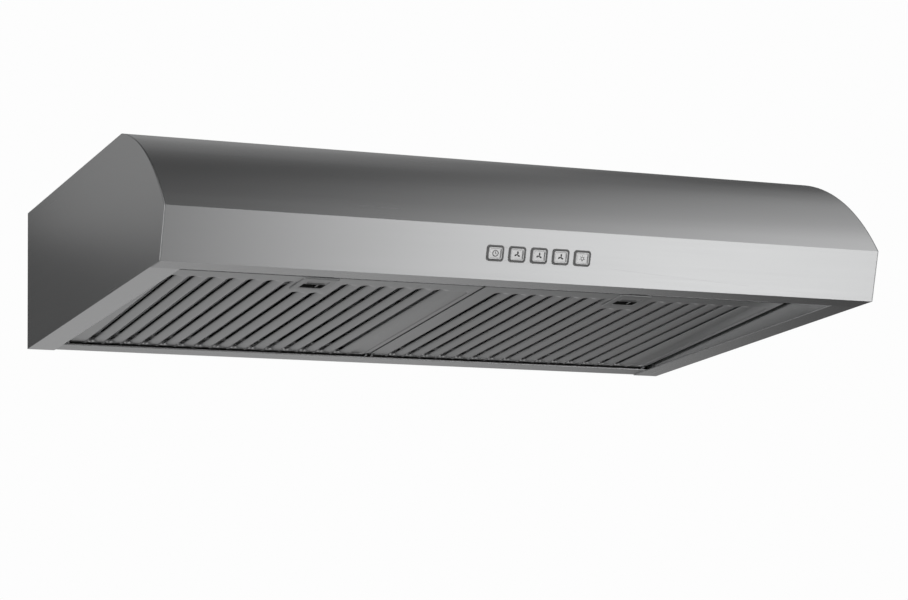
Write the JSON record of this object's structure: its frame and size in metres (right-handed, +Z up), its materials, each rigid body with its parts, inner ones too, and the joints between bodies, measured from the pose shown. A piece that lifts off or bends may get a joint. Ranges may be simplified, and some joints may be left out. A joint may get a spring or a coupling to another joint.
{
  "type": "under cabinet range hood",
  "caption": "Stainless under cabinet range hood with a curved front, a push button fascia, tilt-down baffle filters, a centrifugal blower and a round top outlet.",
  "frame": {"origin": "centre of the four cabinet screw holes, on the hood's top face", "axes": "+Z up out of the top face, +X along the hood's width to the right as seen from the front, +Y back to the wall"},
  "size_m": [0.76, 0.5, 0.19],
  "materials": {
    "stainless": "fine brushed",
    "filter_steel": "satin",
    "latch_steel": "satin",
    "galvanised": "spangled zinc",
    "zinc_screw": "bright zinc",
    "bright_rod": "ground",
    "wire_chrome": "plated",
    "button_silver": "metallic satin",
    "bezel_black": "fine grain",
    "board_green": "solder mask",
    "black_plastic": "moulded",
    "white_plastic": "moulded",
    "lamp_alloy": "satin",
    "lamp_diffuser": "frosted",
    "motor_paint": "satin black",
    "wheel_steel": "pressed",
    "duct_plastic": "moulded",
    "flap_alloy": "mill"
  },
  "bodies": {
    "hood": {"front_canopy": "stainless", "left_side_panel": "stainless", "right_side_panel": "stainless", "top_panel": "stainless", "back_panel": "stainless", "lamp_panel": "stainless", "left_side_rail": "stainless", "right_side_rail": "stainless", "filter_hangers": "galvanised", "button_bezels": "bezel_black", "control_board": "board_green", "button_switches": "black_plastic", "board_posts": "zinc_screw", "left_lamp_housing": "lamp_alloy", "right_lamp_housing": "lamp_alloy", "left_lamp_lens": "lamp_diffuser", "right_lamp_lens": "lamp_diffuser", "lamp_driver": "white_plastic", "scroll_housing": "galvanised", "motor_plate": "galvanised", "inlet_ring": "black_plastic", "inlet_guard": "wire_chrome", "motor": "motor_paint", "motor_screws": "zinc_screw", "capacitor": "white_plastic", "wiring_box": "galvanised", "wiring_box_cover": "galvanised", "cover_screws": "zinc_screw", "terminal_block": "white_plastic", "cable_gland": "black_plastic", "exhaust_collar": "duct_plastic", "collar_screws": "zinc_screw", "damper_rod": "bright_rod"},
    "timer_key": {"timer_button": "button_silver"},
    "low_speed_key": {"low_speed_button": "button_silver"},
    "middle_speed_key": {"middle_speed_button": "button_silver"},
    "high_speed_key": {"high_speed_button": "button_silver"},
    "lamp_key": {"lamp_button": "button_silver"},
    "blower_wheel": {"impeller_hub": "wheel_steel", "impeller_blades": "wheel_steel", "motor_shaft": "bright_rod", "impeller_nut": "zinc_screw"},
    "front_flap": {"front_damper_flap": "flap_alloy"},
    "rear_flap": {"rear_damper_flap": "flap_alloy"},
    "left_filter": {"left_filter_frame": "filter_steel", "left_lower_baffle": "filter_steel", "left_upper_baffle": "filter_steel", "left_hinge_rod": "bright_rod", "left_latch_plate": "latch_steel"},
    "left_latch": {"left_latch_slider": "latch_steel"},
    "right_filter": {"right_filter_frame": "filter_steel", "right_lower_baffle": "filter_steel", "right_upper_baffle": "filter_steel", "right_hinge_rod": "bright_rod", "right_latch_plate": "latch_steel"},
    "right_latch": {"right_latch_slider": "latch_steel"}
  },
  "joints": [
    {"name": "timer_press", "type": "slide", "parent": "hood", "child": "timer_key", "axis": [0, 0.9448, 0.3277], "range_m": [0, 0.0015], "stiffness_N_per_m": 800, "springref_m": -0.0003},
    {"name": "low_speed_press", "type": "slide", "parent": "hood", "child": "low_speed_key", "axis": [0, 0.9448, 0.3277], "range_m": [0, 0.0015], "stiffness_N_per_m": 800, "springref_m": -0.0003},
    {"name": "middle_speed_press", "type": "slide", "parent": "hood", "child": "middle_speed_key", "axis": [0, 0.9448, 0.3277], "range_m": [0, 0.0015], "stiffness_N_per_m": 800, "springref_m": -0.0003},
    {"name": "high_speed_press", "type": "slide", "parent": "hood", "child": "high_speed_key", "axis": [0, 0.9448, 0.3277], "range_m": [0, 0.0015], "stiffness_N_per_m": 800, "springref_m": -0.0003},
    {"name": "lamp_press", "type": "slide", "parent": "hood", "child": "lamp_key", "axis": [0, 0.9448, 0.3277], "range_m": [0, 0.0015], "stiffness_N_per_m": 800, "springref_m": -0.0003},
    {"name": "blower_spin", "type": "hinge", "parent": "hood", "child": "blower_wheel", "pos_m": [0, -0.055, -0.06], "axis": [0, 0, 1], "continuous": true},
    {"name": "front_flap_lift", "type": "hinge", "parent": "hood", "child": "front_flap", "pos_m": [0, 0.105, 0.011], "axis": [-1, 0, 0], "range_deg": [0, 78]},
    {"name": "rear_flap_lift", "type": "hinge", "parent": "hood", "child": "rear_flap", "pos_m": [0, 0.105, 0.011], "axis": [1, 0, 0], "range_deg": [0, 78]},
    {"name": "left_filter_tilt", "type": "hinge", "parent": "hood", "child": "left_filter", "pos_m": [-0.174, 0.1515, -0.14284], "axis": [1, 0, 0], "range_deg": [0, 60]},
    {"name": "left_latch_slide", "type": "slide", "parent": "left_filter", "child": "left_latch", "axis": [0, 0.999, -0.045], "range_m": [0, 0.0028], "stiffness_N_per_m": 400, "springref_m": -0.001},
    {"name": "right_filter_tilt", "type": "hinge", "parent": "hood", "child": "right_filter", "pos_m": [0.174, 0.1515, -0.14284], "axis": [1, 0, 0], "range_deg": [0, 60]},
    {"name": "right_latch_slide", "type": "slide", "parent": "right_filter", "child": "right_latch", "axis": [0, 0.999, -0.045], "range_m": [0, 0.0028], "stiffness_N_per_m": 400, "springref_m": -0.001}
  ]
}
